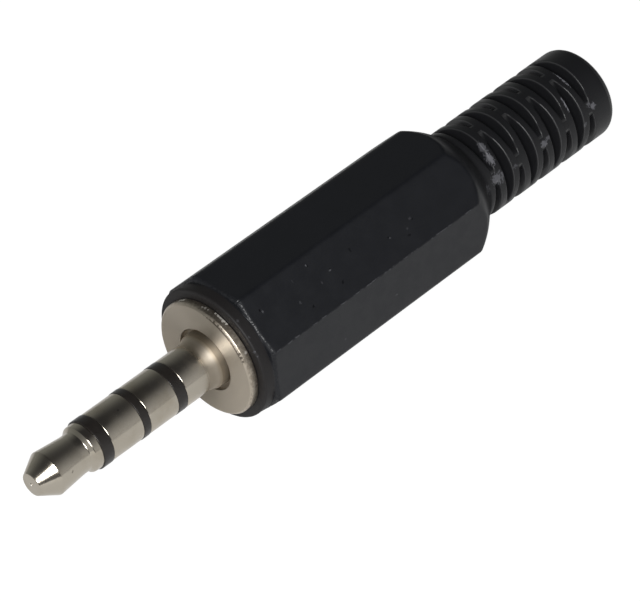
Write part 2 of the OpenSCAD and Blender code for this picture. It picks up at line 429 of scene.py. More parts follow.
def makeNickel(look):
    material, tree, shader = newMaterial("nickel plate")
    lines = useGroup(tree, latheLines, Density=look["lineDensity"])
    surface = useGroup(tree, grain, Fine=look["grain"], Cloud=look["clouds"])
    x, radius = alongAndOut(tree)
    pitted = addMarks(tree, roundMarks(look["pits"]), look["pitRagged"])
    # Painted highlights: pale spots on the pip and the rim
    paintedHighlight = addMarks(tree, roundMarks(look["paintedHighlights"]), look["highlightRagged"])
    pastGroove = ramp(tree, radius, *look["groove"])
    onFlare = ramp(tree, x, *look["flare"])
    # Painted shade on the sleeve's foot and inside the groove
    footShade = times(tree, ramp(tree, x, *look["foot"]), calc(tree, "SUBTRACT", 1.0, pastGroove))
    onFace = times(tree, ramp(tree, x, *look["face"]), pastGroove)
    onRim = times(tree, ramp(tree, x, *look["rim"]), pastGroove)
    patches = remap(tree, surface["Grain"], *look["rimWearShare"])
    worn = times(tree, ramp(tree, x, *look["rimWear"]), patches)
    # Painted dark reflection: a dark line at the chamfer's inner edge
    place, reach, strength = look["darkReflectionLine"]
    darkReflectionSpot = addMarks(tree, [(onRound(*place), reach, strength)], look["darkReflectionRagged"])
    onDarkReflection = times(tree, darkReflectionSpot, ramp(tree, radius, *look["darkReflectionRadius"]))
    dull = remap(tree, surface["Clouds"], *look["dullShare"])
    colour = look["colour"]
    # The colours below include painted shade at the foot, a painted dark reflection line and painted
    # highlight spots
    for where, over in ((dull, "dullColour"), (onFlare, "flareColour"), (onFace, "faceColour"),
                        (footShade, "footShadeColour"), (worn, "rimColour"), (onDarkReflection, "darkReflectionColour"),
                        (paintedHighlight, "highlightColour"), (pitted, "pitColour")):
        colour = blend(tree, where, colour, look[over])
    uneven = calc(tree, "MULTIPLY_ADD", lines["Bands"], 0.5, times(tree, surface["Clouds"], 0.5))
    rough = remap(tree, uneven, *noiseSpan, *look["roughness"])
    for where, over in ((onFlare, "flareRoughness"), (onFace, "faceRoughness"), (onRim, "rimRoughness"),
                        (paintedHighlight, "highlightRoughness")):
        rough = mixed(tree, where, rough, look[over])
    height = calc(tree, "SUBTRACT", lines["Lines"], times(tree, pitted, look["pitDepth"]))
    linkSurface(tree, shader, colour, rough, height, look["lineDepth"], look["lineStrength"])
    setShader(shader, Metallic=1.0, Anisotropic=look["anisotropy"], Anisotropic_Rotation=look["quarterTurn"])
    grooved = look["anisotropy"]
    for where, over in ((onFlare, "flareAnisotropy"), (onFace, "faceAnisotropy"), (onRim, "rimAnisotropy")):
        grooved = mixed(tree, where, grooved, look[over])
    link(tree, grooved, shader, "Anisotropic")
    tangent = addNode(tree, "ShaderNodeTangent", direction_type="RADIAL", axis="X")
    link(tree, tangent.outputs[0], shader, "Tangent")
    return material


# Black moulded plastic of the cover. Fours of distances say where a zone begins, is full, fades and ends.
coverLook = {
    "colour": (0.0060, 0.0066, 0.0084),
    "cloudTone": 1.3,
    "cloudSpan": (0.35, 0.65),
    "roughness": (0.37, 0.46),
    "gloss": 0.34,
    "grain": 9000.0,
    "clouds": 900.0,
    "grainDepth": 0.02,
    "grainStrength": 0.25,
    "bootRadius": 3.42,
    "boot": (21.6, 22.8),
    "bootColour": (0.0102, 0.0104, 0.0116),
    "bootRoughness": 0.36,
    "bootGloss": 0.25,
    "pastShoulder": (23.4, 23.6),
    "slotDepth": (0.015, 0.035),
    "slotRoughness": 0.28,
    "slotGloss": 0.55,
    "slotEdgeDepth": (0.002, 0.012, 0.07, 0.12),
    "slotEdgeRoughness": 0.47,
    "slotEdgeGloss": 0.86,
    "lip": (1.56, 1.40),
    "lipRoughness": 0.6,
    "lipColour": (0.0082, 0.0070, 0.0072),
    "bevel": (1.50, 1.56, 1.70, 1.85),
    "bevelWearShare": (0.42, 0.58),
    "bevelRoughness": (0.35, 0.75),
    "shoulder": (21.6, 22.6, 23.5, 23.8),
    "shoulderRoughness": 0.8,
    "shoulderGloss": 0.12,
    "dust": {"Density": 1100.0, "Size": 0.07, "Share": 0.03},
    "dustColour": (0.09, 0.085, 0.08),
    "dustStrength": 0.6,
    # A pale colour for wear marks, which also paints glints on the boot's slot edges
    "scuffAndGlintColour": (0.15, 0.15, 0.165),
    "scuffAndGlintStrength": 0.75,
    "scuffAndGlintRoughness": 0.6,
    "seam": math.radians(67.5),
    "seamWidth": 0.05,
    "seamStrength": 0.35,
    "seamBreaks": 2600.0,
    "seamReach": (1.6, 1.8, 22.4, 23.2),
    # Nicks and dents are on the flats, the dents darkened by painted shade; chips on the front lip; scuffs
    # with painted glints on the slots' edges, and worn skins, on the boot
    "nicks": [(45, 7.24, -1.36, 0.05, 0.09, 0.55), (45, 8.52, -0.19, 0.09, 0.05, 0.5),
              (45, 2.71, -0.6, 0.06, 0.11, 0.4), (45, 5.36, 0.35, 0.08, 0.16, 0.2),
              (45, 13.69, 0.38, 0.10, 0.05, 0.4), (45, 15.79, 0.1, 0.12, 0.10, 0.18),
              (45, 7.5, 0.15, 0.06, 0.12, 0.15), (45, 5.75, -1.05, 0.05, 0.12, 0.12),
              (45, 15.2, 0.55, 0.10, 0.08, 0.15), (90, 12.69, 0.4, 0.12, 0.06, 0.4),
              (90, 7.83, 0.93, 0.10, 0.06, 0.4)],
    "dentsWithShade": [(45, 8.84, 0.87, 0.14, 0.10, 0.6), (45, 5.99, 1.05, 0.12, 0.09, 0.6),
              (45, 10.63, -0.52, 0.10, 0.15, 0.5), (45, 15.06, 0.95, 0.16, 0.10, 0.5),
              (45, 2.58, -0.75, 0.06, 0.10, 0.8), (45, 8.60, -0.30, 0.05, 0.05, 0.7),
              (45, 7.32, -1.28, 0.04, 0.07, 0.7), (45, 15.92, 0.22, 0.10, 0.07, 0.5),
              (45, 13.58, 0.28, 0.07, 0.06, 0.6)],
    # The dents' darker tone is painted shade
    "dentShadeTone": 0.3,
    "dentGloss": 0.05,
    "dentDepth": 3.0,
    "ragged": {"nicks": 1.1, "dentsWithShade": 1.1, "scuffsAndGlints": 0.9, "skins": 1.2, "chips": 1.2},
    # The boot's pale patches are partly scuffs and partly painted glints on the slots' edges
    "scuffsAndGlints": [(24.82, 31, (0.22, 0.45, 0.5), 0.65), (24.74, 46, (0.24, 0.55, 0.5), 1.0),
               (33.60, 20, (0.13, 0.75, 0.6), 1.3), (32.40, 47, (0.13, 0.6, 0.6), 1.3)],
    "chips": [(0.76, 60, 4.70, 0.10, 0.5), (0.82, 63.5, 4.74, 0.08, 0.5), (0.9, 48, 4.8, 0.08, 0.3),
              (0.95, 33, 4.8, 0.09, 0.25)],
    "skins": [(23.2, 75, (0.5, 0.3, 0.4), 0.25), (24.5, 71, (0.5, 0.35, 0.5), 0.7),
              (25.1, 70, (0.3, 0.2, 0.3), 0.6), (25.5, 81, (0.3, 0.2, 0.3), 0.4),
              (26.35, 71, (0.2, 0.10, 0.16), 0.4), (29.3, 70, (0.34, 0.18, 0.24), 0.8),
              (29.75, 66, (0.2, 0.1, 0.2), 0.5), (34.4, 67, (0.28, 0.18, 0.25), 0.9),
              (34.1, 62, (0.2, 0.12, 0.2), 0.5), (33.3, 82, (0.16, 0.1, 0.2), 0.4)],
}


def bootMarks(rows):  # rows of x, angle, reach in each direction and strength
    radius = coverLook["bootRadius"]
    return [(onRound(x, angle, radius), reach, strength) for x, angle, reach, strength in rows]


def makeCoverPlastic(look):
    material, tree, shader = newMaterial("cover plastic")
    surface = useGroup(tree, grain, Fine=look["grain"], Cloud=look["clouds"])
    dust = useGroup(tree, specks, **look["dust"])[0]
    across = (0, math.cos(look["seam"]), math.sin(look["seam"]))
    seam = useGroup(tree, seamLine, Across=across, Width=look["seamWidth"] * mm,
                    Breaks=look["seamBreaks"])[0]
    ragged = look["ragged"]
    nicks = addMarks(tree, flatMarks(look["nicks"]), ragged["nicks"])
    # Dents change the gloss too, so their nodes are the material's own; their darker colour is painted shade
    dentsWithShade = addMarks(tree, flatMarks(look["dentsWithShade"]), ragged["dentsWithShade"], shared=False)
    scuffsAndGlints = addMarks(tree, bootMarks(look["scuffsAndGlints"]), ragged["scuffsAndGlints"])
    skins = addMarks(tree, bootMarks(look["skins"]), ragged["skins"])
    chips = addMarks(tree, roundMarks(look["chips"]), ragged["chips"])

    x, radius = alongAndOut(tree)
    deep = calc(tree, "SUBTRACT", look["bootRadius"] * mm, radius)
    pastShoulder = ramp(tree, x, *look["pastShoulder"])
    onBoot = ramp(tree, x, *look["boot"])
    onShoulder = stretch(tree, x, look["shoulder"])
    inSlot = times(tree, ramp(tree, deep, *look["slotDepth"]), pastShoulder)
    onSlotEdge = times(tree, stretch(tree, deep, look["slotEdgeDepth"]), pastShoulder)
    onLip = ramp(tree, x, *look["lip"])
    onBevel = stretch(tree, x, look["bevel"])
    worn = remap(tree, surface["Grain"], *look["bevelWearShare"], *look["bevelRoughness"])
    wornAndGlinting = times(tree, times(tree, seam, stretch(tree, x, look["seamReach"])), look["seamStrength"])
    for marked in (nicks, chips, scuffsAndGlints, skins):
        wornAndGlinting = calc(tree, "MAXIMUM", wornAndGlinting, marked)

    rough = remap(tree, surface["Clouds"], *look["cloudSpan"], *look["roughness"])
    for where, over in ((onBoot, look["bootRoughness"]), (onShoulder, look["shoulderRoughness"]),
                        (inSlot, look["slotRoughness"]), (onSlotEdge, look["slotEdgeRoughness"]),
                        (onLip, look["lipRoughness"]), (onBevel, worn),
                        (wornAndGlinting, look["scuffAndGlintRoughness"])):
        rough = mixed(tree, where, rough, over)
    gloss = look["gloss"]
    for where, over in ((onBoot, "bootGloss"), (onShoulder, "shoulderGloss"), (inSlot, "slotGloss"),
                        (onSlotEdge, "slotEdgeGloss"), (dentsWithShade, "dentGloss")):
        gloss = mixed(tree, where, gloss, look[over])
    colour = blend(tree, surface["Clouds"], look["colour"], [v * look["cloudTone"] for v in look["colour"]])
    for where, over in ((onBoot, look["bootColour"]), (onLip, look["lipColour"]),
                        # Painted shade in the dents
                        (dentsWithShade, [v * look["dentShadeTone"] for v in look["colour"]]),
                        (times(tree, dust, look["dustStrength"]), look["dustColour"]),
                        # Pale wear marks, with painted glints on the boot's slot edges
                        (times(tree, wornAndGlinting, look["scuffAndGlintStrength"]), look["scuffAndGlintColour"])):
        colour = blend(tree, where, colour, over)
    sunk = times(tree, calc(tree, "MAXIMUM", dentsWithShade, nicks), look["dentDepth"])
    height = calc(tree, "SUBTRACT", surface["Grain"], sunk)
    linkSurface(tree, shader, colour, rough, height, look["grainDepth"], look["grainStrength"])
    setShader(shader, Specular_IOR_Level=look["gloss"])
    link(tree, gloss, shader, "Specular IOR Level")
    return material


# Black rings between the contacts
ringLook = {
    "colours": ((0.008, 0.0068, 0.006), (0.018, 0.015, 0.013)),
    "roughness": (0.26, 0.38),
    "gloss": 0.42,
    "grain": 8000.0,
    "clouds": 1500.0,
    "lineDensity": 6000.0,
    "lineDepth": 0.01,
    "lineStrength": 0.25,
}


def makeRingPlastic(look):
    material, tree, shader = newMaterial("ring plastic")
    lines = useGroup(tree, latheLines, Density=look["lineDensity"])["Lines"]
    clouds = useGroup(tree, grain, Fine=look["grain"], Cloud=look["clouds"])["Clouds"]
    rough = remap(tree, clouds, *noiseSpan, *look["roughness"])
    linkSurface(tree, shader, blend(tree, clouds, *look["colours"]), rough, lines, look["lineDepth"],
                look["lineStrength"])
    setShader(shader, Specular_IOR_Level=look["gloss"])
    return material


# Tinned brass of the solder tags
tinnedLook = {
    "colours": ((0.60, 0.585, 0.55), (0.42, 0.40, 0.36)),
    "roughness": (0.26, 0.44),
    "metallic": 1.0,
    "grain": 2600.0,
    "clouds": 900.0,
    "grainDepth": 0.04,
    "grainStrength": 0.35,
    "specks": {"Density": 2200.0, "Size": 0.16, "Share": 0.25},
    "speckColour": (0.20, 0.18, 0.15),
    "speckStrength": 0.5,
}

# Pressed fibre of the washers
fibreLook = {
    "colours": ((0.62, 0.55, 0.40), (0.50, 0.43, 0.29)),
    "roughness": (0.62, 0.8),
    "metallic": 0.0,
    "grain": 7000.0,
    "clouds": 1800.0,
    "grainDepth": 0.05,
    "grainStrength": 0.5,
    "specks": {"Density": 3200.0, "Size": 0.2, "Share": 0.2},
    "speckColour": (0.30, 0.24, 0.15),
    "speckStrength": 0.35,
}


def makeSpeckled(name, look):
    material, tree, shader = newMaterial(name)
    surface = useGroup(tree, grain, Fine=look["grain"], Cloud=look["clouds"])
    dots = times(tree, useGroup(tree, specks, **look["specks"])[0], look["speckStrength"])
    colour = blend(tree, dots, blend(tree, surface["Clouds"], *look["colours"]), look["speckColour"])
    rough = remap(tree, surface["Clouds"], *noiseSpan, *look["roughness"])
    linkSurface(tree, shader, colour, rough, surface["Grain"], look["grainDepth"], look["grainStrength"])
    setShader(shader, Metallic=look["metallic"])
    return material


nickel = makeNickel(nickelLook)
coverPlastic = makeCoverPlastic(coverLook)
ringPlastic = makeRingPlastic(ringLook)
tinned = makeSpeckled("tinned brass", tinnedLook)
fibre = makeSpeckled("fibre", fibreLook)
print("materials made")


# Nested contacts and rings: each layer is a node, its piece's name and the radius of its tube,
# which runs back to the tags inside the next layer
pin = {
    "pipRadius": 0.13,
    "pipHeight": 0.08,
    "pipMargin": 0.03,
    "noseRadius": 0.8,
    "noseRound": 0.07,
    "coneLength": 1.32,
    "coneRadius": 1.57,
    "coneRound": 0.05,
    "neckRadius": 1.38,
    "neckToRing": 1.15,
    "neckRound": 0.1,
    "stepRadius": 1.64,
    "stepToRing": 0.62,
    "stepFillet": 0.11,
    "stepSlope": math.radians(45),
    "tipEdge": 0.03,
    "spindle": 0.45,
    "headRadius": 0.8,
    "headHeight": 0.28,
    "headTaper": 0.75,
    "headRounds": (0.04, 0.12),
    "layers": [("insulator_a", "ring_a", 0.62), ("ring1_contact", "band_1", 0.84),
               ("insulator_b", "ring_b", 1.0), ("ring2_contact", "band_2", 1.22),
               ("insulator_c", "ring_c", 1.38)],
    "bandRounds": (0.09, 0.045),
    "ringRounds": (0.048, 0.048),
}


# Neck to shoulder: two arcs with a straight slope between them
def stepPoints(end):
    neck, step = pin["neckRadius"], pin["stepRadius"]
    fillet, slope = pin["stepFillet"], pin["stepSlope"]
    straight = (step - neck - 2 * fillet * (1 - math.cos(slope))) / math.tan(slope)
    reach = straight / 2 + fillet * math.sin(slope)
    middle = end - pin["stepToRing"]
    arc = [(fillet * math.sin(a), fillet * (1 - math.cos(a))) for a in np.linspace(0, slope, 7)]
    foot = [(middle - reach + along, neck + out, 0) for along, out in arc]
    top = [(middle + reach - along, step - out, 0) for along, out in reversed(arc)]
    return foot + top


def makeTip():
    end = front("insulator_a")
    nose = front("tip_contact") + pin["pipHeight"]
    headBack = back("tip_contact")
    headFront = headBack - pin["headHeight"]
    ball = (pin["pipRadius"] ** 2 + pin["pipHeight"] ** 2) / (2 * pin["pipHeight"])
    pip = [(nose - pin["pipHeight"] + ball * (1 - math.cos(a)), ball * math.sin(a), 0)
           for a in np.linspace(0, math.asin(pin["pipRadius"] / ball), 8)]
    corners = [
        *pip,
        (nose, pin["pipRadius"] + pin["pipMargin"], 0),
        (nose, pin["noseRadius"], pin["noseRound"]),
        (nose + pin["coneLength"], pin["coneRadius"], pin["coneRound"]),
        (end - pin["neckToRing"] - pin["neckRound"], pin["neckRadius"], pin["neckRound"]),
        *stepPoints(end),
        (end, widest("tip_contact"), pin["tipEdge"]),
        (end, pin["spindle"], 0),
        (headFront, pin["spindle"], 0),
        (headFront, pin["headRadius"], pin["headRounds"][0]),
        (headBack, pin["headRadius"] * pin["headTaper"], pin["headRounds"][1]),
        (headBack, 0, 0)]
    dress(turned("tip", rounded(corners), closed=False), nickel, "plug", ["tip_contact"])


def makeLayers():
    inner = pin["spindle"]
    following = [layer[0] for layer in pin["layers"][1:]] + ["body"]
    for (node, pieceName, tube), behind in zip(pin["layers"], following):
        isRing = node.startswith("insulator")
        frontRound, backRound = pin["ringRounds"] if isRing else pin["bandRounds"]
        start, end, radius = front(node), front(behind), widest(node)
        piece = turned(pieceName, rounded([
            (start, inner, 0), (start, radius, frontRound), (end, radius, backRound),
            (end, tube, 0), (back(node), tube, 0), (back(node), inner, 0)]))
        if isRing:
            dress(piece, ringPlastic, "plug", [node])
        else:
            dress(piece, nickel, "plug", [node])
        inner = tube


# Thread shared by the boss and the cover's mouth: one ridge that climbs by the pitch each turn
thread = {"pitch": 0.75, "crest": 0.14, "root": 0.40}


def ridge(x, angles):
    phase = (x / thread["pitch"] - angles / (2 * math.pi)) % 1.0
    away = np.abs(phase - 0.5) * 2
    return np.clip((1 - thread["crest"] - away) / (1 - thread["crest"] - thread["root"] * 0.5), 0, 1)


# Sleeve, flare, groove, flange and threaded boss; the foot rises by (along, out) from its start
body = {
    "sides": 240,
    "sleeveRadius": 1.75,
    "sleeveEdge": 0.5,
    "flareStart": -1.2,
    "flarePower": 3,
    "footAt": -0.33,
    "footRadius": 1.96,
    "footRound": 0.035,
    "footRise": [(0.07, 0.006), (0.2, 0.015), (0.63, 0.046), (0.68, 0.05)],
    "grooveFloor": 0.35,
    "grooveRadius": 2.28,
    "grooveRound": 0.03,
    "grooveEdge": 0.05,
    "flangeBack": 0.65,
    "flangeChamfer": 0.15,
    "flangeChamferDepth": 0.135,
    "faceEdge": 0.02,
    "rimEdge": 0.06,
    "reliefRadius": 2.90,
    "reliefEnd": 1.15,
    "threadRise": 0.22,
    "bossRadius": 3.12,
    "threadHeight": 0.29,
    "threadFadeIn": 0.5,
    "threadFadeOut": (0.15, 0.3),
    "ringsPerTurn": 12,
    "chamfer": 0.3,
    "chamferRound": 0.04,
}


def makeBody():
    inner = pin["layers"][-1][2]
    start, end, flange = front("body"), back("body"), widest("body")
    sleeve, boss = body["sleeveRadius"], body["bossRadius"]
    foot, footRadius, floor = body["footAt"], body["footRadius"], body["grooveFloor"]
    threadStart = body["reliefEnd"] + body["threadRise"]
    threadEnd = end - body["chamfer"]

    outline = rounded([(start, inner, 0), (start, sleeve, pin["bandRounds"][0]),
                       (start + body["sleeveEdge"], sleeve, 0)])
    for f in np.linspace(0, 0.96, 19):
        outline.append((body["flareStart"] + (foot - body["flareStart"]) * f,
                        sleeve + (footRadius - sleeve) * f ** body["flarePower"]))
    outline += rounded([
        outline[-1] + (0,),
        (foot, footRadius, body["footRound"]),
        *[(foot + along, footRadius + out, 0) for along, out in body["footRise"]],
        (floor, body["grooveRadius"], body["grooveRound"]),
        (0, body["grooveRadius"], body["grooveEdge"]),
        (0, flange - body["flangeChamfer"], body["faceEdge"]),
        (body["flangeChamferDepth"], flange, body["rimEdge"]),
        (body["flangeBack"], flange, body["rimEdge"]),
        (body["flangeBack"], body["reliefRadius"], 0),
        (body["reliefEnd"], body["reliefRadius"], 0),
        (threadStart, boss, 0)])[1:]
    steps = int((threadEnd - threadStart) / (thread["pitch"] / body["ringsPerTurn"]))
    outline += [(x, boss) for x in np.linspace(threadStart, threadEnd, steps)[1:]]
    outline += rounded([(threadEnd, boss, 0), (end, boss - body["chamfer"], body["chamferRound"]),
                        (end, inner, 0)])[1:]

    def lift(x, r, angles):
        if x < threadStart or r < boss - 0.001:
            return 0
        before, length = body["threadFadeOut"]
        fadeIn = np.clip((x - threadStart) / body["threadFadeIn"], 0, 1)
        fadeOut = np.clip((end - before - x) / length, 0, 1)
        return body["threadHeight"] * fadeIn * fadeOut * ridge(x, angles)

    piece = turned("body_turned", outline, sides=body["sides"], lift=lift)
    dress(piece, nickel, "plug", ["body"])


# Octagonal barrel and slotted boot in one moulding. Stations are distances where rings of points stand.
cover = {
    "mouthStations": (0.05, 0.5),
    "lipRadius": 4.8,
    "lipRound": 0.15,
    "lipUnder": 0.2,
    "lipEnd": (0.06, 0.012),
    "flatsAt": 1.55,
    "bevel": 0.16,
    "bevelPower": 1.5,
    "bevelRagged": 0.6,
    "bevelAtCorners": 0.35,
    "bevelStations": (0, 0.012, 0.03, 0.055, 0.085, 0.12, 0.16, 0.22, 0.35),
    "cornerRound": 0.5,
    "seamCornerRound": 0.12,
    "cornerColumns": (-1.1, -0.66, -0.33, 0, 0.33, 0.66, 1.1),
    "slotEndColumns": (-0.5, 0.5),
    "plainColumns": (0.5, 360, 2.0),
    "columnGaps": (0.2, 0.8),
    "barrel": (2.6, 20.4),
    "shoulder": ((20.8, 5.30), (23.35, 3.42)),
    "shoulderStations": (20.65, 23.3),
    "bulge": 0.18,
    "shoulderBlend": 0.07,
    "bootStart": (23.36, 23.44, 23.52, 23.64),
    "bootBlend": 0.16,
    "bootUnder": 0.8,
    "bootRadius": coverLook["bootRadius"],
    "endStations": (0.3, 0.8),
    "endRound": 0.6,
    "rows": 9,
    "pitch": 1.21,
    "firstRow": 24.37,
    "slotFloor": 2.1,
    "slotHalfWidth": 0.17,
    "slotTurn": math.radians(60),
    "draft": math.radians(11),
    "thinnestWall": 0.04,
    "steepest": 0.3,
    "slotEdge": 0.30,
    "wallRings": (0.12, 0.5),
    "slotFillet": (-0.036, -0.02, -0.005, 0.012, 0.032, 0.06),
    "seam": coverLook["seam"],
    "cableRadius": 1.7,
    "cableLead": [(0, 0.65), (0, 0.28), (0.03, 0.25), (0.25, 0.01), (0.35, 0)],
    "boreMiddle": 30,
    "taperEnd": 22.0,
    "cavityRadius": 3.46,
    "cavityEnd": 19.8,
    "threadEnd": 6.6,
    "threadDepth": 0.24,
    "threadStart": 0.3,
    "threadFades": (0.6, 0.4),
    "ringsPerTurn": 10,
}


# Angles of the cover's columns: closer together at the octagon's corners and the slots' ends
def coverAngles():
    corners = [22.5 + 45 * i + d for i in range(8) for d in cover["cornerColumns"]]
    reach = math.degrees(math.acos(cover["slotFloor"] / cover["bootRadius"]))
    seam = math.degrees(cover["seam"])
    ends = [seam + 60 * k + s * reach + d
            for k in range(6) for s in (-1, 1) for d in cover["slotEndColumns"]]
    closest, clear = cover["columnGaps"]
    kept = []
    for angle in sorted(a % 360 for a in corners + ends):
        if not kept or angle - kept[-1] > closest:
            kept.append(angle)
    plain = [a for a in np.arange(*cover["plainColumns"])
             if min(abs((a - k + 180) % 360 - 180) for k in kept) > clear]
    return np.radians(sorted(kept + plain))


# Radius of the octagon; the corners where the mould parts are crisper than the others
def octagon(angles, apothem):
    step = math.pi / 4
    off = np.abs((angles + step / 2) % step - step / 2)
    fromSeam = np.abs((angles - cover["seam"] + math.pi / 2) % math.pi - math.pi / 2)
    size = np.where(fromSeam < step / 2, cover["seamCornerRound"], cover["cornerRound"])
    flat = apothem / np.cos(off)
    centre = (apothem - size) / math.cos(step / 2)
    d = step / 2 - off
    arc = centre * np.cos(d) + np.sqrt(np.maximum(size**2 - (centre * np.sin(d)) ** 2, 0))
    meets = np.arctan((apothem - size) * math.tan(step / 2) / apothem)
    return np.where(off > meets, arc, flat)


# Smooth random values between 0 and 1, the same at every run
def wander(count, every, seed):
    values = np.random.default_rng(seed).random(count // every + 3)
    return np.interp(np.arange(count) / every, np.arange(len(values)), values)


# The shoulder's profile is an arc that bulges from the line between its ends
def shoulderRadius(x):
    (x0, r0), (x1, r1) = cover["shoulder"]
    half = math.hypot(x1 - x0, r1 - r0) / 2
    size = (half**2 + cover["bulge"] ** 2) / (2 * cover["bulge"])
    nx, ny = (r0 - r1) / (2 * half), (x1 - x0) / (2 * half)
    cx = (x0 + x1) / 2 - nx * (size - cover["bulge"])
    cy = (r0 + r1) / 2 - ny * (size - cover["bulge"])
    return cy + np.sqrt(np.maximum(size**2 - (np.maximum(x, cx) - cx) ** 2, 0))


def coverOutside(x, angles, apothem, bootEnd):
    flats = octagon(angles, apothem)
    ragged = 1 + cover["bevelRagged"] * (wander(len(angles), 1, 5) - 0.6)
    bevel = cover["bevel"] * ragged + (flats - apothem) * cover["bevelAtCorners"]
    inFront = np.clip((cover["flatsAt"] + bevel - x) / bevel, 0, 1)
    power = cover["bevelPower"]
    drop = bevel * (1 - np.power(1 - np.power(inFront, power), 1 / power))
    barrel = softMin(flats - drop, shoulderRadius(x), cover["shoulderBlend"])
    barrel = np.where(x < cover["flatsAt"] - 0.001, 0, barrel)
    nearLip = x < cover["flatsAt"] + cover["lipUnder"]
    outside = np.where(nearLip, np.maximum(barrel, cover["lipRadius"]), barrel)
    size = cover["endRound"]
    past = np.clip(x - (bootEnd - size), 0, size)
    boot = cover["bootRadius"] - size + np.sqrt(np.maximum(size**2 - past**2, 0))
    nearBoot = x > cover["shoulder"][1][0] - cover["bootUnder"]
    return np.where(nearBoot, softMax(outside, boot, cover["bootBlend"]), outside)


# Round mouth in front of the flats
def lipRings(start):
    inner, lip, size = cover["cavityRadius"], cover["lipRadius"], cover["lipRound"]
    rings = [(start, inner + d) for d in cover["mouthStations"]] + [(start, lip - size - 0.1)]
    rings += [(start + size * (1 - math.cos(f)), lip - size + size * math.sin(f))
              for f in np.linspace(0, math.pi / 2, 6)]
    return rings + [(start + 2 * size, lip)] + [(cover["flatsAt"] - d, lip) for d in cover["lipEnd"]]


# Flats, shoulder and the plain start of the boot
def barrelRings(angles, bootEnd):
    stations = [cover["flatsAt"] + d for d in cover["bevelStations"]]
    stations += [*np.linspace(*cover["barrel"], 10), *np.linspace(*cover["shoulderStations"], 28)]
    stations += cover["bootStart"]
    return [(x, coverOutside(x, angles, widest("cover"), bootEnd)) for x in stations]


# Rings of one row of slots; the rings follow the slots' walls, which lean by the draft
def slotRings(row, angles):
    centre = cover["firstRow"] + row * cover["pitch"]
    turn = cover["seam"] - (cover["slotTurn"] if row % 2 == 0 else 0)
    third = 2 * math.pi / 3
    off = (angles - turn + third / 2) % third - third / 2
    floor, half, radius = cover["slotFloor"], cover["slotHalfWidth"], cover["bootRadius"]
    wall = (radius * np.cos(off) - floor) * math.tan(cover["draft"])
    wall = np.maximum(wall, cover["thinnestWall"])
    landEnd = cover["pitch"] / 2
    offsets = [np.zeros_like(angles), np.full_like(angles, half)]
    offsets += [half + wall * f for f in cover["wallRings"]]
    offsets += [half + wall + d for d in cover["slotFillet"]]
    offsets.append((half + wall + cover["slotFillet"][-1] + landEnd) / 2)
    rings = []
    for offset in [-o for o in reversed(offsets[1:])] + offsets + [np.full_like(angles, landEnd)]:
        height = floor + np.maximum(np.abs(offset) - half, 0) / math.tan(cover["draft"])
        slot = height / np.maximum(np.cos(off), cover["steepest"])
        rings.append((centre + offset, softMin(np.full_like(slot, radius), slot, cover["slotEdge"])))
    return rings


# Plain end of the boot, its round edge and the cable hole's lead-in
def endRings(bootEnd):
    radius, size = cover["bootRadius"], cover["endRound"]
    cable = cover["cableRadius"]
    lastRow = cover["firstRow"] + (cover["rows"] - 0.5) * cover["pitch"]
    rings = [(lastRow + d, radius) for d in cover["endStations"]] + [(bootEnd - size, radius)]
    rings += [(bootEnd - size * (1 - math.sin(f)), radius - size * (1 - math.cos(f)))
              for f in np.linspace(0, math.pi / 2, 8)[1:]]
    return rings + [(bootEnd - inwards, cable + out) for inwards, out in cover["cableLead"]]


# Cable bore, taper, cavity and thread, from the boot's end back to the mouth
def boreRings(start, angles):
    cable, inner = cover["cableRadius"], cover["cavityRadius"]
    threadEnd, threadStart = cover["threadEnd"], start + cover["threadStart"]
    fadeOut, fadeIn = cover["threadFades"]
    rings = [(cover["boreMiddle"], cable), (cover["taperEnd"] + 0.1, cable),
             (cover["taperEnd"], cable + 0.02), (cover["cavityEnd"], inner),
             (cover["cavityEnd"] - 0.2, inner), (threadEnd + 0.6, inner)]
    steps = int((threadEnd - threadStart) / (thread["pitch"] / cover["ringsPerTurn"]))
    for x in np.linspace(threadEnd, threadStart, steps):
        fade = np.clip((threadEnd - x) / fadeOut, 0, 1) * np.clip((x - threadStart) / fadeIn, 0, 1)
        rings.append((x, inner + cover["threadDepth"] * fade * ridge(x, angles)))
    return rings + [(start + 0.05, inner)]


def makeCover():
    start, bootEnd = front("cover"), back("cover")
    angles = coverAngles()
    rings = lipRings(start) + barrelRings(angles, bootEnd)
    for row in range(cover["rows"]):
        rings += slotRings(row, angles)
    rings += endRings(bootEnd) + boreRings(start, angles)
    points = [ringPoints(x, r, angles) for x, r in rings]
    piece = skin("cover_moulded", points, closed=True, sharpAngle=45)
    dress(piece, coverPlastic, "cover", ["cover"])


# Thin ragged flash where the mould parts, along two opposite corners of the barrel
flash = {
    "height": 0.02,
    "width": 0.045,
    "sunk": 0.03,
    "margin": 0.2,
    "step": 0.1,
    "breaks": (2.4, -1.2),
    "least": 0.4,
    "lean": 0.02,
    "pieces": [("flash_front", 0, 11), ("flash_back", math.pi, 31)],
}


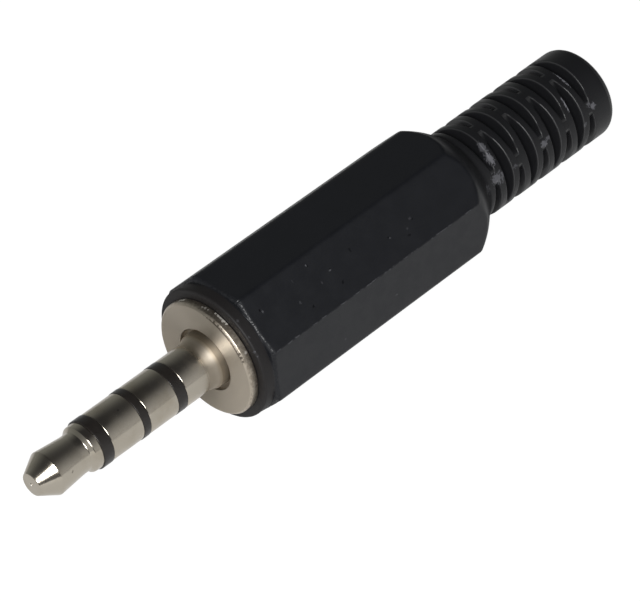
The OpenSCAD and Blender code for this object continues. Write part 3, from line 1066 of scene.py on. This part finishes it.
def makeFlash(name, halfTurn, seed):
    turn = cover["seam"] + halfTurn
    size = cover["seamCornerRound"]
    corner = (widest("cover") - size) / math.cos(math.pi / 8) + size
    half, sunk = flash["width"] / corner, flash["sunk"]
    stations = np.arange(cover["flatsAt"] + flash["margin"], cover["shoulder"][0][0] - flash["margin"],
                         flash["step"])
    count = len(stations)
    gain, offset = flash["breaks"]
    tall = np.clip(wander(count, 2, seed) * gain + offset, 0, 1)
    tall = tall * (flash["least"] + wander(count, 1, seed + 1))
    lean = (wander(count, 2, seed + 2) - 0.5) * flash["lean"]
    rings = []
    for x, height, side in zip(stations, tall, lean):
        crest = corner - sunk + height * (flash["height"] + sunk)
        radii = np.array([corner - 2 * sunk, crest, corner - 2 * sunk])
        rings.append(ringPoints(x, radii, np.array([turn - half, turn + side, turn + half])))
    ends = [np.mean(ring, axis=0, keepdims=True) for ring in (rings[0], rings[-1])]
    piece = skin(name, [ends[0], *rings, ends[1]], closed=False, sharpAngle=60)
    dress(piece, coverPlastic, "cover")


# Sheet parts keep the form of their nodes, with the sharp edges broken
sheet = {
    "edge": 0.04,
    "edgeSegments": 2,
    "edgeProfile": 0.6,
    "crispAbove": math.radians(35),
    "flatWithin": math.radians(0.5),
    "weld": 0.001,
    "sharpAngle": 40,
    "tags": ["sleeve_clamp", "ring2_tag", "ring1_tag", "tip_tag"],
    "washers": ["washer_1", "washer_2", "washer_3"],
}


def soften(node, material, pieceName):
    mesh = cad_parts[node].data.copy()
    mesh.name = pieceName
    edit = bmesh.new()
    edit.from_mesh(mesh)
    bmesh.ops.remove_doubles(edit, verts=edit.verts, dist=sheet["weld"] * mm)
    bmesh.ops.dissolve_limit(edit, angle_limit=sheet["flatWithin"], verts=edit.verts, edges=edit.edges)
    crisp = [e for e in edit.edges if len(e.link_faces) == 2 and e.calc_face_angle() > sheet["crispAbove"]]
    bmesh.ops.bevel(edit, geom=crisp, offset=sheet["edge"] * mm, segments=sheet["edgeSegments"],
                    profile=sheet["edgeProfile"], affect="EDGES", clamp_overlap=True)
    edit.to_mesh(mesh)
    edit.free()
    dress(addPiece(pieceName, mesh, sheet["sharpAngle"]), material, "plug", [node])


makeTip()
makeLayers()
makeBody()
print("contact pin made")
makeCover()
for name, halfTurn, seed in flash["pieces"]:
    makeFlash(name, halfTurn, seed)
print("cover made")
for name in sheet["tags"]:
    soften(name, tinned, name + "_plated")
for name in sheet["washers"]:
    soften(name, fibre, name + "_pressed")
print("tags and washers made")


# Floor, surroundings and lamp. Directions in the world are seen from the plug, from -1 to 1 on each axis.
studio = {
    "floorHalf": 2000,
    "floorColour": (0.80, 0.80, 0.80),
    "floorWhite": 0.86,
    "floorInGloss": 0.14,
    "floorStrength": 1.12,
    "overhead": 0.042,
    "overheadTint": (1.0, 1.0, 1.05),
    "overheadFrom": 0.88,
    "overheadPower": 1.6,
    "horizonFront": 0.58,
    "horizonBack": 0.32,
    "backTint": (0.97, 1.0, 0.96),
    "frontToBack": 0.6,
    "behindBoot": 0.03,
    "behindBootFrom": (0.53, 0.78),
    "patch": 0.10,
    "patchAt": (-0.46, -0.86, 0.21),
    "patchEdge": (0.86, 0.95),
    "keyPower": 0.75,
    "keyDistance": 260,
    "keySize": 150,
}


def tinted(level, tint=(1.0, 1.0, 1.0)):
    return [level * c for c in tint]


# White to the eye and in reflections, with the plug's soft shadow on it
def makeFloor():
    half = studio["floorHalf"]
    z = -widest("cover")
    mesh = bpy.data.meshes.new("floor")
    corners = [(-half, -half, z), (half, -half, z), (half, half, z), (-half, half, z)]
    mesh.from_pydata([[v * mm for v in c] for c in corners], [], [(0, 1, 2, 3)])
    floor = bpy.data.objects.new("floor", mesh)
    bpy.context.scene.collection.objects.link(floor)
    material = bpy.data.materials.new("floor")
    material.use_nodes = True
    tree = material.node_tree
    tree.nodes.clear()
    rays = addNode(tree, "ShaderNodeLightPath").outputs
    direct = calc(tree, "MAXIMUM", rays["Is Camera Ray"], rays["Is Transmission Ray"])
    shown = calc(tree, "MAXIMUM", times(tree, direct, studio["floorWhite"]),
                 times(tree, rays["Is Glossy Ray"], studio["floorInGloss"]))
    diffuse = addNode(tree, "ShaderNodeBsdfDiffuse", {"Color": (*studio["floorColour"], 1)})
    white = addNode(tree, "ShaderNodeEmission", {"Strength": studio["floorStrength"]})
    both = addNode(tree, "ShaderNodeMixShader", {0: shown, 1: diffuse.outputs[0], 2: white.outputs[0]})
    addNode(tree, "ShaderNodeOutputMaterial", {"Surface": both.outputs[0]})
    mesh.materials.append(material)


# Dim overhead and past the boot, bright towards the horizon, with a darker patch in front of the pin
def makeWorld():
    world = bpy.data.worlds.new("studio")
    bpy.context.scene.world = world
    world.use_nodes = True
    tree = world.node_tree
    tree.nodes.clear()
    way = addNode(tree, "ShaderNodeTexCoord").outputs["Generated"]
    split = addNode(tree, "ShaderNodeSeparateXYZ", {0: way}).outputs
    side = remap(tree, split[1], studio["frontToBack"], -studio["frontToBack"])
    horizon = blend(tree, side, tinted(studio["horizonBack"], studio["backTint"]),
                    tinted(studio["horizonFront"]))
    pastBoot = remap(tree, split[0], *studio["behindBootFrom"])
    horizon = blend(tree, pastBoot, horizon, tinted(studio["behindBoot"]))
    patch = remap(tree, vectors(tree, "DOT_PRODUCT", way, studio["patchAt"]), *studio["patchEdge"])
    horizon = blend(tree, patch, horizon, tinted(studio["patch"]))
    height = remap(tree, split[2], 0.0, studio["overheadFrom"], soft=False)
    sky = blend(tree, calc(tree, "POWER", height, studio["overheadPower"]), horizon,
                tinted(studio["overhead"], studio["overheadTint"]))
    isCamera = addNode(tree, "ShaderNodeLightPath").outputs["Is Camera Ray"]
    surface = addNode(tree, "ShaderNodeBackground", {"Color": blend(tree, isCamera, sky, (1, 1, 1))})
    addNode(tree, "ShaderNodeOutputWorld", {"Surface": surface.outputs[0]})


camera = {
    "target": (10, 0, 0),
    "azimuth": 41.67,
    "elevation": 39.45,
    "roll": -6.33,
    "distance": 213.54,
    "lens": 183.29,
    "sensor": 36,
    "shift": (0.00954, -0.0301),
    "clip": (0.001, 10),
}


def awayFromTarget(azimuth, elevation):
    a, e = math.radians(azimuth), math.radians(elevation)
    return Vector((-math.sin(a) * math.cos(e), -math.cos(a) * math.cos(e), math.sin(e)))


def aimed(place, target, roll=0.0):
    look = (target - place).normalized()
    right = look.cross(Vector((0, 0, 1))).normalized()
    up = right.cross(look)
    c, s = math.cos(math.radians(roll)), math.sin(math.radians(roll))
    axes = (right * c + up * s, up * c - right * s, -look)
    return Matrix.Translation(place) @ Matrix(axes).transposed().to_4x4()


def makeCamera():
    data = bpy.data.cameras.new("camera")
    data.lens = camera["lens"]
    data.sensor_width = camera["sensor"]
    data.shift_x, data.shift_y = camera["shift"]
    data.clip_start, data.clip_end = camera["clip"]
    made = bpy.data.objects.new("camera", data)
    bpy.context.scene.collection.objects.link(made)
    target = Vector(camera["target"]) * mm
    away = awayFromTarget(camera["azimuth"], camera["elevation"])
    made.matrix_world = aimed(target + away * camera["distance"] * mm, target, camera["roll"])
    bpy.context.scene.camera = made


def makeKeyLight():
    data = bpy.data.lights.new("key", "AREA")
    data.shape = "DISK"
    data.size = studio["keySize"] * mm
    data.energy = studio["keyPower"]
    made = bpy.data.objects.new("key", data)
    bpy.context.scene.collection.objects.link(made)
    away = awayFromTarget(camera["azimuth"], camera["elevation"])
    made.matrix_world = aimed(away * studio["keyDistance"] * mm, Vector((0, 0, 0)))
    made.visible_camera = False


makeFloor()
makeWorld()
makeCamera()
makeKeyLight()
bpy.context.scene.view_settings.view_transform = "Standard"
print("studio made")
